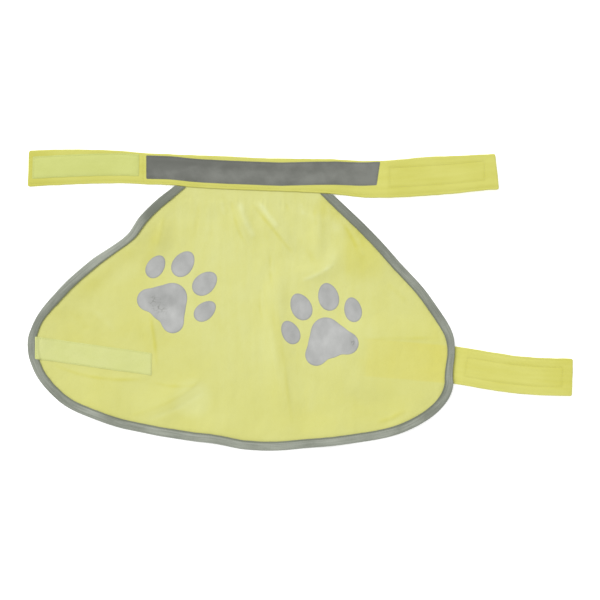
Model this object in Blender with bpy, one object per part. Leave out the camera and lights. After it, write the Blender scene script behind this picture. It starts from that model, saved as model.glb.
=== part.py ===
"""A dog's high-visibility vest, laid flat with its outer face up.

A bell-shaped back panel is bound round its edge in folded reflective tape. Its neck edge is held
between the two layers of a neck band, which runs on into two neck straps. A belly strap is sewn
under the panel at the right, and hook and loop tapes close neck and belly.

Metres, +Z up, lying on z = 0. +X runs from the left neck strap to the belly strap's end, and +Y
towards the neck. The tables are in millimetres, measured on the cloth as it lies.
"""

import bmesh
import bpy
from collections import namedtuple
from mathutils import Vector
from mathutils.bvhtree import BVHTree
from mathutils.geometry import interpolate_bezier, intersect_point_line
from mathutils.kdtree import KDTree

MM = 0.001
SHARP_ANGLE = 0.7

# Cloth
WALL = 0.0010  # one layer, and each lip or leg of a folded piece
STRAP_THICK = 0.0020  # two layers sewn together
HOOK_THICK = 0.0012
LOOP_THICK = 0.0016
STRIP_THICK = 0.0010
SEAM_GAP = 0.0003

# A fold grips the panel's edge: a leg below, a leg above, and the panel with a gap on each side between
GRIP = WALL + 2 * SEAM_GAP
FOLD_THICK = 2 * WALL + GRIP
EDGE_LIFT = WALL + SEAM_GAP  # what a leg under it lifts the panel by
BINDING_WIDTH = 0.0100
ROUND_OFF = 0.0007  # at the outer fold
TONGUE = 0.0100  # how far the panel's neck edge goes into the neck band

# Panel grid: cells from the left edge to the right one, and from the neck to the hem
CELLS_ACROSS = 44
CELLS_DOWN = 26
CURVE_STEPS = 24  # stretches from one row of an outline's table to the next
FIRST_CELL = 0.0150  # clears the slanted end of the binding
RING_INSET = 0.0112
EDGE_FLAT = 0.0112  # the panel stays at its edge's height this far in
EDGE_FADE = 0.0160

# Belly strap and the tapes
STRAP_WIDTH = 0.0412
STRAP_LIFT = STRAP_THICK + SEAM_GAP  # what the strap under it lifts the panel by
STRAP_MARGIN = 0.0120
STRAP_SHOULDER = 0.0140
HOOK_LIFT = HOOK_THICK + SEAM_GAP  # what the hook tape under it lifts a strap by
TAPE_WIDTH = 0.0245
TAPE_RUN = 0.0060
SKY = 0.1  # higher than any piece
REST_REACH = 0.0065  # a tape rests on the highest cloth this near to each of its points

Place = namedtuple("Place", "x y")

# Where the binding's two ends meet the neck band's lower edge
BindingEnd = namedtuple("BindingEnd", "outer_x inner_x")
LEFT_END = BindingEnd(-137.8, -125.4)
RIGHT_END = BindingEnd(36.3, 22.0)

# Outer edge of the binding, from below the neck's left end down to the left tip
LEFT_EDGE = [
    Place(-159.9, 108.1),
    Place(-176.5, 90.8),
    Place(-188.7, 73.2),
    Place(-212.8, 55.2),
    Place(-225.5, 47.2),
    Place(-237.1, 37.9),
    Place(-265.6, 11.5),
    Place(-287.3, -14.9),
    Place(-297.9, -37.6),
    Place(-299.5, -49.5),
]
# Along the hem to the lower right corner
HEM_EDGE = [
    Place(-296.8, -67.0),
    Place(-283.2, -93.0),
    Place(-252.7, -119.3),
    Place(-206.8, -137.4),
    Place(-163.1, -147.9),
    Place(-118.8, -155.0),
    Place(-89.6, -158.8),
    Place(-60.5, -164.0),
    Place(-30.8, -165.7),
    Place(13.2, -162.3),
    Place(74.8, -155.1),
    Place(111.1, -146.3),
    Place(144.3, -128.9),
    Place(161.7, -111.1),
    Place(168.3, -93.5),
]
# And up the right side to the neck
RIGHT_EDGE = [
    Place(167.9, -80.3),
    Place(169.8, -58.3),
    Place(168.4, -39.8),
    Place(161.1, -22.9),
    Place(136.3, 12.0),
    Place(104.5, 47.3),
    Place(71.7, 82.7),
]

# The neck band, section by section: where its lower edge and its top edge are
BandSection = namedtuple("BandSection", "x_low y_low x_top y_top")
NECK_BAND = [
    BandSection(-299.4, 124.5, -298.0, 164.2),
    BandSection(-268.4, 126.2, -268.4, 165.4),
    BandSection(-233.2, 127.8, -233.2, 165.4),
    BandSection(-198.0, 128.3, -198.0, 164.1),
    BandSection(-171.6, 127.2, -171.6, 161.7),
    BandSection(-142.0, 126.2, -142.0, 160.4),
    BandSection(-116.6, 123.6, -116.6, 159.4),
    BandSection(-80.3, 121.6, -80.3, 158.0),
    BandSection(-46.2, 120.2, -46.2, 156.1),
    BandSection(-11.0, 118.9, -11.0, 155.5),
    BandSection(36.3, 116.2, 36.3, 154.9),
    BandSection(71.5, 112.6, 71.5, 152.9),
    BandSection(101.2, 112.4, 101.2, 153.8),
    BandSection(136.4, 114.4, 136.4, 157.1),
    BandSection(171.6, 117.0, 171.6, 158.5),
    BandSection(206.8, 120.8, 206.8, 160.2),
    BandSection(218.8, 121.2, 214.5, 160.7),
]
BAND_STEPS = 3  # stretches from one row of the table to the next
SLOPE_STEPS = 4  # and along each slope
SECTION_CLOSE = 0.0030
# The band is full at its lower edge where it grips the panel, and thins to the straps' thickness
FULL_LEFT = Place(-160.0, -139.0)
FULL_RIGHT = Place(38.0, 56.0)
FULL_DEPTH = 0.0125
THIN_DEPTH = 0.0220
SLOT_MOUTH = 0.0040  # the slot's cutter starts this far outside the band
SLOT_SPREAD = 0.0012  # and is this much longer at each end than the tongue
SLOT_STEP = 4
# The hook tape under the right strap lifts it, from the first place on fully from the second
HOOK_RAMP = Place(80.0, 96.0)

# What lies on the band: its two ends, each at its lower and its upper corner, how far above the band's
# lower edge it starts, up to the turn, and how far at its right end
OnBand = namedtuple("OnBand", "x0_low x0_top x1_low x1_top from_edge turn to_edge width")
REFLECTIVE_STRIP = OnBand(-168.9, -168.9, 84.2, 88.0, 6.1, -20.0, 14.0, 25.6)
NECK_LOOP = OnBand(-294.6, -294.6, -176.9, -176.9, 8.4, -236.0, 8.4, 24.5)
NECK_HOOK = OnBand(97.0, 97.0, 204.0, 204.0, 10.0, 150.0, 9.5, 24.5)
DEPTH_STEP = 0.0010

# The belly strap's middle line, from under the panel out to its free end
BELLY_LINE = [
    Place(69.3, -62.7),
    Place(110.0, -66.6),
    Place(154.0, -69.9),
    Place(176.0, -72.4),
    Place(224.4, -80.3),
    Place(259.6, -83.8),
    Place(299.4, -85.0),
]
BELLY_RAMP = Place(171.3, 180.4)
BELLY_HOOK = Place(180.7, 289.5)
STRAP_STEP = 0.0120

# The belly loop tape's middle line on the panel, from the left tip
BELLY_LOOP = [Place(-290.9, -52.4), Place(-163.0, -70.6)]
LOOP_SLANT = -3.4  # its ends lean, the upper corner this far along it past the lower one

# Folds of the panel: soft ridges along a curve from start by middle to end
Fold = namedtuple("Fold", "height reach start middle end")
FOLDS = [
    Fold(3.2, 14, Place(-24.2, 36.3), Place(-34.0, -60.0), Place(-10.0, -143.0)),
    Fold(2.8, 12, Place(-77.0, 110.0), Place(-67.0, 92.0), Place(-53.9, 62.0)),
    Fold(3.2, 13, Place(-47.3, 108.0), Place(-30.0, 86.0), Place(-7.7, 56.0)),
    Fold(2.2, 11, Place(18.7, 100.0), Place(20.0, 70.0), Place(17.6, 46.0)),
    Fold(2.6, 12, Place(50.0, 54.0), Place(22.0, 22.0), Place(-8.0, 28.0)),
    Fold(2.6, 12, Place(-152.9, 90.0), Place(-151.0, 76.0), Place(-156.2, 52.0)),
    Fold(2.6, 11, Place(-262.0, -78.0), Place(-225.0, -96.0), Place(-172.0, -92.0)),
    Fold(3.2, 14, Place(-205.7, -112.0), Place(-165.0, -132.0), Place(-106.0, -84.0)),
    Fold(2.4, 11, Place(-166.0, -8.0), Place(-160.0, -20.0), Place(-156.0, -42.0)),
    Fold(2.2, 12, Place(82.0, -128.0), Place(101.0, -131.0), Place(118.0, -114.0)),
    Fold(2.0, 11, Place(62.0, 68.0), Place(62.0, 54.0), Place(57.0, 38.0)),
    Fold(1.8, 13, Place(98.0, 22.0), Place(106.0, 8.0), Place(120.0, 2.0)),
]
FOLD_STEPS = 8
EDGE_STEPS = 6  # places between two stations, for finding how far in from the edge a point lies
FOLD_MARGIN = 0.0152  # folds die out this near the edge
TAPE_CLEAR = 0.0200  # and under the belly loop tape

# Ripples of the bound edge: where it stands highest, how high, and how far along the edge it reaches
Ripple = namedtuple("Ripple", "x y height reach")
RIPPLES = [
    Ripple(-181.0, 86.0, 4.5, 34),
    Ripple(-262.0, 16.0, 2.0, 34),
    Ripple(-218.0, -133.5, 2.6, 36),
    Ripple(-95.0, -158.5, 2.0, 40),
    Ripple(36.0, -160.0, 2.8, 38),
    Ripple(126.0, -139.5, 3.0, 32),
    Ripple(98.0, 54.0, 2.6, 36),
]
RIPPLE_DEPTH = 0.0450  # a ripple runs this far into the panel

YELLOW_SHEER = (0.70, 0.72, 0.25, 1.0)
YELLOW_DOUBLE = (0.68, 0.66, 0.16, 1.0)
GREY_TAPE = (0.22, 0.22, 0.19, 1.0)
PALE_LOOP = (0.65, 0.69, 0.24, 1.0)


def clear_scene():
    for obj in list(bpy.data.objects):
        bpy.data.objects.remove(obj, do_unlink=True)


def cloth_material(name, color, roughness):
    material = bpy.data.materials.new(name)
    material.use_nodes = True
    shader = material.node_tree.nodes["Principled BSDF"]
    shader.inputs["Base Color"].default_value = color
    shader.inputs["Roughness"].default_value = roughness
    shader.inputs["Metallic"].default_value = 0.0
    return material


def add_object(name, bm, material):
    """The finished piece as an object, with its faces pointing out."""
    bmesh.ops.recalc_face_normals(bm, faces=bm.faces)
    mesh = bpy.data.meshes.new(name)
    bm.to_mesh(mesh)
    bm.free()
    mesh.materials.append(material)
    mesh.shade_smooth()
    mesh.set_sharp_from_angle(angle=SHARP_ANGLE)
    obj = bpy.data.objects.new(name, mesh)
    bpy.context.scene.collection.objects.link(obj)
    return obj


def metres(place):
    return Vector((place.x, place.y, 0.0)) * MM


def clamp(value):
    return min(max(value, 0.0), 1.0)


def ease(value):
    value = clamp(value)
    return value * value * (3 - 2 * value)


def to_left(direction):
    """Square to a direction in the plane of the cloth, a unit long."""
    return Vector((-direction.y, direction.x, 0.0)).normalized()


def smooth_curve(points, steps):
    """A curve through the points, as Bezier stretches whose handles lie along the neighbours' chord."""
    ends = [2 * points[0] - points[1]] + points + [2 * points[-1] - points[-2]]
    curve = [points[0]]
    for before, start, stop, after in zip(ends, ends[1:], ends[2:], ends[3:]):
        span = (stop - start).length
        leave = (stop - before).normalized() * span / 3
        arrive = (after - start).normalized() * span / 3
        curve += interpolate_bezier(start, start + leave, stop - arrive, stop, steps + 1)[1:]
    return curve


def evenly(curve, lengths):
    """The points of a dense curve at these lengths along it."""
    found = []
    index, run = 0, 0.0
    for length in lengths:
        step = (curve[index + 1] - curve[index]).length
        while run + step < length and index < len(curve) - 2:
            run += step
            index += 1
            step = (curve[index + 1] - curve[index]).length
        found.append(curve[index].lerp(curve[index + 1], clamp((length - run) / step)))
    return found


def curve_length(curve):
    return sum((b - a).length for a, b in zip(curve, curve[1:]))


def sweep(sections):
    """A closed solid through sections of equally many points, made by extruding a face along them."""
    bm = bmesh.new()
    cap = bm.faces.new([bm.verts.new(point) for point in sections[0]])
    for index, section in enumerate(sections[1:]):
        made = bmesh.ops.extrude_face_region(bm, geom=[cap])["geom"]
        if index > 0:
            bm.faces.remove(cap)
        cap = next(item for item in made if isinstance(item, bmesh.types.BMFace))
        for vert, point in zip(cap.verts, section):
            vert.co = point
    return bm


def outline_stations(band):
    """The binding's outer edge, as the stations that it shares with the panel: down the left side,
    along the hem and up the right side."""
    outline = [metres(place) for place in LEFT_EDGE + HEM_EDGE + RIGHT_EDGE]
    outline = [band.seam(LEFT_END.outer_x * MM)] + outline + [band.seam(RIGHT_END.outer_x * MM)]
    curve = smooth_curve(outline, CURVE_STEPS)
    tip = len(LEFT_EDGE) * CURVE_STEPS
    corner = tip + len(HEM_EDGE) * CURVE_STEPS
    left, hem, right = curve[: tip + 1], curve[tip : corner + 1], curve[corner:]

    side_cells = CELLS_DOWN - 2
    left_cell = (curve_length(left) - FIRST_CELL) / side_cells
    right_cell = (curve_length(right) - FIRST_CELL) / side_cells
    hem_cell = curve_length(hem) / CELLS_ACROSS
    left_marks = [0.0] + [FIRST_CELL + left_cell * i for i in range(side_cells + 1)]
    hem_marks = [hem_cell * i for i in range(1, CELLS_ACROSS + 1)]
    right_marks = [right_cell * i for i in range(1, side_cells + 1)] + [curve_length(right)]
    return evenly(left, left_marks) + evenly(hem, hem_marks) + evenly(right, right_marks)


def inward_steps(stations, band):
    """For each station, the way into the panel for one metre of binding width: square to the edge,
    but along the band's lower edge at the two ends."""
    steps = []
    for before, here, after in zip(stations, stations[1:], stations[2:]):
        square_in = to_left(here - before)
        square = (square_in + to_left(after - here)).normalized()
        steps.append(square / square.dot(square_in))
    left = (band.seam(LEFT_END.inner_x * MM) - stations[0]) / BINDING_WIDTH
    right = (band.seam(RIGHT_END.inner_x * MM) - stations[-1]) / BINDING_WIDTH
    return [left] + steps + [right]


def ripple_lift(point):
    """How far the bound edge stands up at this place."""
    lift = 0.0
    for ripple in RIPPLES:
        away = (point.xy - Vector((ripple.x, ripple.y)) * MM).length / (ripple.reach * MM)
        lift = max(lift, ripple.height * MM * (1 - ease(away)))
    return lift


def strap_lift(point):
    """What the belly strap under it lifts the panel and the binding by."""
    line = [metres(place) for place in BELLY_LINE]
    nearest = min(
        (point - foot(point, start, stop)[0]).length for start, stop in zip(line, line[1:])
    )
    beyond = (nearest - STRAP_WIDTH / 2 - STRAP_MARGIN) / STRAP_SHOULDER
    return STRAP_LIFT * (1 - ease(beyond))


def foot(point, start, stop):
    """The nearest place to a point on a straight stretch, and how far along it that is."""
    place, along = intersect_point_line(point, start, stop)
    along = clamp(along)
    return start.lerp(stop, along), along


class PanelShape:
    """The panel's height over the surface it lies on, for every place on it."""

    def __init__(self, stations, neck_line):
        bound_edge = smooth_curve(stations, EDGE_STEPS)
        self.bound_count = len(bound_edge)
        self.edge = bound_edge + neck_line
        self.tree = KDTree(len(self.edge))
        for index, point in enumerate(self.edge):
            self.tree.insert(point, index)
        self.tree.balance()
        self.folds = [self.fold_line(fold) for fold in FOLDS]
        self.tape = [metres(place) for place in BELLY_LOOP]

    def fold_line(self, fold):
        """The fold's curve, a quadratic one turned into short stretches."""
        start, middle, end = metres(fold.start), metres(fold.middle), metres(fold.end)
        leave, arrive = start.lerp(middle, 2 / 3), end.lerp(middle, 2 / 3)
        return interpolate_bezier(start, leave, arrive, end, FOLD_STEPS + 1)

    def fold_lift(self, point):
        lift = 0.0
        for fold, line in zip(FOLDS, self.folds):
            for index, (start, stop) in enumerate(zip(line, line[1:])):
                place, along = foot(point, start, stop)
                away = (point - place).length / (fold.reach * MM)
                if away >= 1:
                    continue
                run = 2 * (index + along) / FOLD_STEPS - 1
                taper = 1 - run**4
                lift = max(lift, fold.height * MM * taper * (1 - away**2) ** 2)
        return lift

    def height(self, point):
        flat = Vector((point.x, point.y, 0.0))
        _, index, inset = self.tree.find(flat)
        edge = EDGE_LIFT * (1 - ease((inset - EDGE_FLAT) / EDGE_FADE))
        ripple = 0.0
        if index < self.bound_count:
            fade = 1 - ease((inset - EDGE_FLAT) / RIPPLE_DEPTH)
            ripple = ripple_lift(self.edge[index]) * fade
        tape_away = (flat - foot(flat, *self.tape)[0]).length
        clear = ease((inset - FOLD_MARGIN) / EDGE_FADE) * ease((tape_away - TAPE_CLEAR) / EDGE_FADE)
        return edge + ripple + strap_lift(flat) + self.fold_lift(flat) * clear


def edge_height(station):
    return ripple_lift(station) + strap_lift(station)


def make_panel(stations, steps, band, shape, material):
    """One sheet with an 11 mm ring round it that lies level in the binding, and a tongue in the band."""
    in_slot = WALL + SEAM_GAP
    outer = [s + step * in_slot for s, step in zip(stations, steps)]
    inner = [s + step * RING_INSET for s, step in zip(stations, steps)]
    levels = [EDGE_LIFT + edge_height(s) for s in stations]

    across, down = CELLS_ACROSS, CELLS_DOWN
    place = {}

    def put(i, j, points, index):
        place[i, j] = Vector((points[index].x, points[index].y, levels[index]))

    for j in range(1, down + 1):
        put(0, j, outer, j - 1)
        put(across, j, outer, len(stations) - j)
    for j in range(1, down - 1):
        put(1, j, inner, j - 1)
        put(across - 1, j, inner, len(stations) - j)
    for i in range(across + 1):
        put(i, down, outer, down - 1 + i)
    for i in range(1, across):
        put(i, down - 1, inner, down - 1 + i)

    # The inside follows from its four sides, as a sheet stretched between them
    for i in range(2, across - 1):
        u = (i - 1) / (across - 2)
        neck_x = place[1, 1].x + (place[across - 1, 1].x - place[1, 1].x) * u
        place[i, 1] = band.seam(neck_x) + Vector((0.0, 0.0, EDGE_LIFT))
        for j in range(2, down - 1):
            v = (j - 1) / (down - 2)
            sides = place[1, j].lerp(place[across - 1, j], u)
            ends = place[i, 1].lerp(place[i, down - 1], v)
            upper = place[1, 1].lerp(place[across - 1, 1], u)
            lower = place[1, down - 1].lerp(place[across - 1, down - 1], u)
            spot = sides + ends - upper.lerp(lower, v)
            place[i, j] = Vector((spot.x, spot.y, shape.height(spot)))
    for i in range(across + 1):
        place[i, 0] = place[i, 1] + Vector((0.0, TONGUE, 0.0))

    bm = bmesh.new()
    grid = bmesh.ops.create_grid(bm, x_segments=across, y_segments=down, size=0.5)["verts"]
    for vert in grid:
        i = round((vert.co.x + 0.5) * across)
        j = round((0.5 - vert.co.y) * down)
        vert.co = place[i, j]
    bmesh.ops.triangulate(bm, faces=bm.faces, quad_method="SHORT_EDGE")
    upper_side = bmesh.ops.extrude_face_region(bm, geom=list(bm.faces))["geom"]
    lifted = [item for item in upper_side if isinstance(item, bmesh.types.BMVert)]
    bmesh.ops.translate(bm, verts=lifted, vec=(0.0, 0.0, WALL))
    return add_object("panel", bm, material)


def make_binding(stations, steps, material):
    """Tape folded over the panel's edge: a leg under it, a leg over it, and the fold outside."""
    profile = [
        (ROUND_OFF, 0.0),
        (BINDING_WIDTH, 0.0),
        (BINDING_WIDTH, WALL),
        (WALL, WALL),
        (WALL, WALL + GRIP),
        (BINDING_WIDTH, WALL + GRIP),
        (BINDING_WIDTH, FOLD_THICK),
        (ROUND_OFF, FOLD_THICK),
        (0.0, FOLD_THICK - ROUND_OFF),
        (0.0, ROUND_OFF),
    ]
    sections = []
    for station, step in zip(stations, steps):
        lift = edge_height(station)
        sections.append(
            [station + step * inset + Vector((0.0, 0.0, lift + rise)) for inset, rise in profile]
        )
    return add_object("edge_binding", sweep(sections), material)


class BandShape:
    """The neck band's places: along it by x, across it by the distance from its lower edge."""

    def __init__(self):
        low = smooth_curve([Vector((s.x_low, s.y_low, 0.0)) * MM for s in NECK_BAND], BAND_STEPS)
        top = smooth_curve([Vector((s.x_top, s.y_top, 0.0)) * MM for s in NECK_BAND], BAND_STEPS)
        self.low, self.top = low, top

    def at(self, x):
        """The lower and the upper edge's points at this x of the lower edge."""
        for index in range(len(self.low) - 1):
            if x <= self.low[index + 1].x or index == len(self.low) - 2:
                share = (x - self.low[index].x) / (self.low[index + 1].x - self.low[index].x)
                low = self.low[index].lerp(self.low[index + 1], share)
                return low, self.top[index].lerp(self.top[index + 1], share)

    def seam(self, x):
        """Just off the lower edge, where what meets the band there ends."""
        low, _ = self.at(x)
        return Vector((x, low.y - SEAM_GAP, 0.0))

    def full(self, x):
        """How much of the fold's full thickness the band has here, from 0 in the straps to 1."""
        rise = clamp((x / MM - FULL_LEFT.x) / (FULL_LEFT.y - FULL_LEFT.x))
        fall = clamp((FULL_RIGHT.y - x / MM) / (FULL_RIGHT.y - FULL_RIGHT.x))
        return min(rise, fall)

    def lift(self, x):
        return HOOK_LIFT * clamp((x / MM - HOOK_RAMP.x) / (HOOK_RAMP.y - HOOK_RAMP.x))

    def thick(self, x, depth):
        """Its thickness this far above its lower edge."""
        thin = clamp((depth - FULL_DEPTH) / (THIN_DEPTH - FULL_DEPTH))
        return STRAP_THICK + (FOLD_THICK - STRAP_THICK) * self.full(x) * (1 - thin)

    def point(self, x, depth, rise):
        low, top = self.at(x)
        spot = low + (top - low).normalized() * depth
        return Vector((spot.x, spot.y, rise))

    def marks(self, start, stop):
        """Where sections go between two places: along each slope, and at the table's own between."""
        slopes = []
        for slope in (FULL_LEFT, FULL_RIGHT, HOOK_RAMP):
            slopes += [
                (slope.x + (slope.y - slope.x) * i / SLOPE_STEPS) * MM for i in range(SLOPE_STEPS + 1)
            ]
        level = [p.x for p in self.low if all(abs(p.x - x) > SECTION_CLOSE for x in slopes)]
        inside = sorted(x for x in slopes + level if start + MM < x < stop - MM)
        return [start] + inside + [stop]


def make_neck_band(band, neck_line, material):
    """Two layers of cloth; the panel's tongue goes between them, in a slot cut from the lower edge."""
    sections = []
    for x in band.marks(band.low[0].x, band.low[-1].x):
        low, top = band.at(x)
        width = (top - low).length
        depths = [0.0, FULL_DEPTH, THIN_DEPTH, width]
        under = [band.point(x, depth, band.lift(x)) for depth in depths]
        over = [band.point(x, depth, band.lift(x) + band.thick(x, depth)) for depth in depths]
        sections.append(under + over[::-1])
    obj = add_object("neck_band", sweep(sections), material)

    places = [point.copy() for point in neck_line[::SLOT_STEP]]
    places[0].x -= SLOT_SPREAD
    places[-1].x += SLOT_SPREAD
    slot = []
    for x, y, _ in places:
        mouth, back = y - SLOT_MOUTH, y + TONGUE + SEAM_GAP
        corners = [(mouth, WALL), (back, WALL), (back, WALL + GRIP), (mouth, WALL + GRIP)]
        slot.append([Vector((x, *corner)) for corner in corners])
    cutter = add_object("neck_slot_cutter", sweep(slot), material)
    cutter.display_type = "WIRE"
    cutter.hide_render = True
    cut = obj.modifiers.new("neck slot", "BOOLEAN")
    cut.operation = "DIFFERENCE"
    cut.solver = "EXACT"
    cut.object = cutter
    return obj


def make_on_band(name, band, size, below, thick, material):
    """A tape that lies on the band, or under it, and takes its shape from the band's own points."""
    first, last = max(size.x0_low, size.x0_top) * MM, min(size.x1_low, size.x1_top) * MM
    width = size.width * MM
    marks = band.marks(first, last)
    sections = []
    for x in marks:
        past_turn = clamp((x - size.turn * MM) / (last - size.turn * MM))
        near = (size.from_edge + (size.to_edge - size.from_edge) * past_turn) * MM
        under, over = [], []
        for depth in (near, max(FULL_DEPTH, near + DEPTH_STEP), THIN_DEPTH, near + width):
            lean = (depth - near) / width
            along = x
            if x == marks[0]:
                along = (size.x0_low + (size.x0_top - size.x0_low) * lean) * MM
            if x == marks[-1]:
                along = (size.x1_low + (size.x1_top - size.x1_low) * lean) * MM
            rest = 0.0 if below else band.lift(along) + band.thick(along, depth) + SEAM_GAP
            under.append(band.point(along, depth, rest))
            over.append(band.point(along, depth, rest + thick))
        sections.append(under + over[::-1])
    return add_object(name, sweep(sections), material)


def along_belly(start, stop):
    """Points along the belly strap between two x, and the way to its left at each, with a point
    where its slope starts and ends."""
    curve = smooth_curve([metres(place) for place in BELLY_LINE], CURVE_STEPS)
    count = round((stop - start) * MM / STRAP_STEP)
    marks = [(start + (stop - start) * i / count) * MM for i in range(count + 1)]
    ramp = [x * MM for x in BELLY_RAMP if start < x < stop]
    inside = [x for x in marks[1:-1] if all(abs(x - r) > SECTION_CLOSE for r in ramp)]
    found = []
    for x in sorted([marks[0], *inside, *ramp, marks[-1]]):
        before, after = next(
            (a, b) for a, b in zip(curve, curve[1:]) if b.x >= x or b is curve[-1]
        )
        share = (x - before.x) / (after.x - before.x)
        found.append((before.lerp(after, share), to_left(after - before)))
    return found


def belly_lift(x):
    return HOOK_LIFT * clamp((x / MM - BELLY_RAMP.x) / (BELLY_RAMP.y - BELLY_RAMP.x))


def make_belly_strap(material):
    """Two layers, sewn under the panel; past the binding it rises over its hook tape."""
    sections = [
        flat_section(point, left * STRAP_WIDTH, belly_lift(point.x), STRAP_THICK)
        for point, left in along_belly(BELLY_LINE[0].x, BELLY_LINE[-1].x)
    ]
    return add_object("belly_strap", sweep(sections), material)


def make_belly_hook(material):
    sections = [
        flat_section(point, left * TAPE_WIDTH, 0.0, HOOK_THICK)
        for point, left in along_belly(*BELLY_HOOK)
    ]
    return add_object("belly_hook_tape", sweep(sections), material)


def flat_section(middle, across, low, thick):
    """A strap's cross-section: a rectangle about its middle line."""
    corners = [(-0.5, low), (0.5, low), (0.5, low + thick), (-0.5, low + thick)]
    return [middle + across * share + Vector((0.0, 0.0, rise)) for share, rise in corners]


def carried_height(point, trees):
    """The top of the highest cloth near a place, found by looking straight down at it."""
    highest = 0.0
    for dx in (-REST_REACH, 0.0, REST_REACH):
        for dy in (-REST_REACH, 0.0, REST_REACH):
            for tree in trees:
                eye = Vector((point.x + dx, point.y + dy, SKY))
                hit = tree.ray_cast(eye, Vector((0.0, 0.0, -1.0)))[0]
                if hit:
                    highest = max(highest, hit.z)
    return highest


def make_belly_loop(carriers, material):
    """Laid on the panel at its left tip, its end over the binding's inner edge."""
    bpy.context.view_layer.update()
    graph = bpy.context.evaluated_depsgraph_get()
    trees = [BVHTree.FromObject(obj, graph) for obj in carriers]
    start, stop = (metres(place) for place in BELLY_LOOP)
    along = (stop - start).normalized()
    left = to_left(along)
    count = round((stop - start).length / TAPE_RUN)
    sections = []
    for i in range(count + 1):
        under, over = [], []
        for share in (-0.5, 0.0, 0.5):
            lean = LOOP_SLANT * MM * share
            point = start.lerp(stop, i / count) + along * lean + left * share * TAPE_WIDTH
            rest = carried_height(point, trees) + SEAM_GAP
            under.append(point + Vector((0.0, 0.0, rest)))
            over.append(point + Vector((0.0, 0.0, rest + LOOP_THICK)))
        sections.append(under + over[::-1])
    return add_object("belly_loop_tape", sweep(sections), material)


def main():
    clear_scene()
    sheer = cloth_material("yellow_sheer", YELLOW_SHEER, 0.75)
    double = cloth_material("yellow_double", YELLOW_DOUBLE, 0.75)
    grey = cloth_material("grey_reflective", GREY_TAPE, 0.45)
    pale = cloth_material("loop_pale", PALE_LOOP, 0.9)

    band = BandShape()
    stations = outline_stations(band)
    steps = inward_steps(stations, band)
    tongue = [(stations[end] + steps[end] * (WALL + SEAM_GAP)).x for end in (0, -1)]
    count = CELLS_ACROSS * 2
    neck_line = [
        band.seam(tongue[0] + (tongue[1] - tongue[0]) * i / count) for i in range(count + 1)
    ]

    shape = PanelShape(stations, neck_line)
    panel = make_panel(stations, steps, band, shape, sheer)
    binding = make_binding(stations, steps, grey)
    make_neck_band(band, neck_line, double)
    make_on_band("reflective_strip", band, REFLECTIVE_STRIP, False, STRIP_THICK, grey)
    make_on_band("neck_loop_tape", band, NECK_LOOP, False, LOOP_THICK, pale)
    make_on_band("neck_hook_tape", band, NECK_HOOK, True, HOOK_THICK, double)
    make_belly_strap(double)
    make_belly_hook(double)
    make_belly_loop([panel, binding], pale)


main()
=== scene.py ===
"""A dog's high-visibility vest, laid flat with its outer face up: its cloth, tapes, stitching and prints.

Metres, +Z up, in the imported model's frame: +X runs from the left neck strap to the belly strap's end,
+Y towards the neck, and the vest lies on z = 0. Tables of places are in millimetres.
"""

import math
from bisect import bisect
from collections import namedtuple
from functools import lru_cache, partial

import bmesh
import bpy
from mathutils import Matrix, Vector, noise
from mathutils.bvhtree import BVHTree
from mathutils.geometry import interpolate_bezier
from mathutils.kdtree import KDTree


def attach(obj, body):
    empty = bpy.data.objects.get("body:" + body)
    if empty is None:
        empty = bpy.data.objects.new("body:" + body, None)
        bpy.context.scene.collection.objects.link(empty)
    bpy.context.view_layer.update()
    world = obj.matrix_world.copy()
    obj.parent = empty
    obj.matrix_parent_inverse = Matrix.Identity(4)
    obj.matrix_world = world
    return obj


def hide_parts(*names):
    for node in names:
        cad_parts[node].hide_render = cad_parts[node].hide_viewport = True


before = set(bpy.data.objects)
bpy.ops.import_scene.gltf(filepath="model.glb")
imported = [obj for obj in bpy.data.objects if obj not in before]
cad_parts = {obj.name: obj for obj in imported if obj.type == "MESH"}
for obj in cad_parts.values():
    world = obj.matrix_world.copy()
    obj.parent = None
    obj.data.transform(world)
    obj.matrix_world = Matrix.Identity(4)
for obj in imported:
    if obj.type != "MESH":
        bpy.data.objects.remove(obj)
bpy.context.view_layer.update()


# The back panel: one layer of pale yellow polyester tricot, slightly sheer, cut as a bell. Its neck
# edge goes up into the neck band and its other edges into the binding, so it has no raw edge.

MM = 0.001
TOUCH = 1e-6
FACING_UP = 0.5
FINE_STEPS = 8  # stretches from one point of a solid's side to the next
STUDIO_GAIN = 1.25  # the studio's light brightens a white cloth this much
SHARP_ANGLE = 1.0
FAR_OFF = 0.1  # further up or down than any piece
JUST_OFF = 3 * MM


def dyed(red, green, blue):
    """The dye that shows as this screen colour in the studio's light."""
    shown = [((part / 255 + 0.055) / 1.055) ** 2.4 / STUDIO_GAIN for part in (red, green, blue)]
    return (*shown, 1.0)


class Signal:
    """A value that changes over a cloth. Python's own sums on it add Math nodes to its finish."""

    def __init__(self, finish, socket):
        self.finish, self.socket = finish, socket

    def math(self, operation, *terms):
        return self.finish.node("Math", {"operation": operation}, dict(enumerate(terms)))

    def __add__(self, other):
        return self.math("ADD", self, other)

    def __sub__(self, other):
        return self.math("SUBTRACT", self, other)

    def __rsub__(self, other):
        return self.math("SUBTRACT", other, self)

    def __mul__(self, other):
        return self.math("MULTIPLY", self, other)

    __radd__, __rmul__ = __add__, __mul__

    def sine(self):
        return self.math("SINE", self)

    def size(self):
        return self.math("ABSOLUTE", self)

    def between(self, low, high):
        """0 below low, 1 above high, and an easy slope from one to the other."""
        settings = {"interpolation_type": "SMOOTHSTEP"}
        return self.finish.node("MapRange", settings, {0: self, 1: low, 2: high, 3: 0.0, 4: 1.0})


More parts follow.
